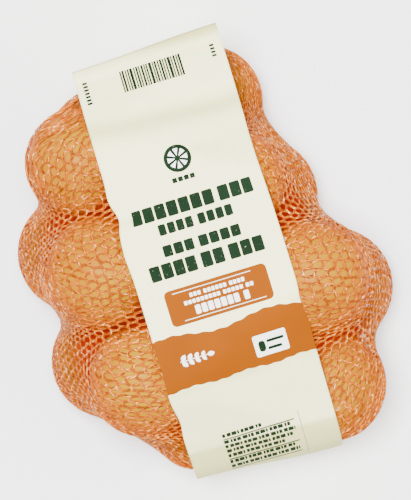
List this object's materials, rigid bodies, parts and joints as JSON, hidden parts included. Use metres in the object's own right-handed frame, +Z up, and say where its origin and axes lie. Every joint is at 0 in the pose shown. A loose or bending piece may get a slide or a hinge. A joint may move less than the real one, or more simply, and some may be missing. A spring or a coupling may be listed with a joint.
{
  "type": "net bag of oranges",
  "caption": "Knitted net bag packed with oranges, wrapped lengthwise by a printed film band, lying on its side.",
  "frame": {"origin": "on the surface that the bag lies on, under the middle of its box", "axes": "+Z up out of the table, +Y along the band to the head with the welded header, +X to the right seen from above"},
  "size_m": [0.225, 0.2736, 0.1432],
  "materials": {
    "net_and_fruit": "orange knitted plastic net over ripe orange peel",
    "printed_film": "cream film with flat printed fields, soft sheen"
  },
  "bodies": {
    "root": {"net": "net_and_fruit", "label_band": "printed_film"}
  },
  "joints": []
}
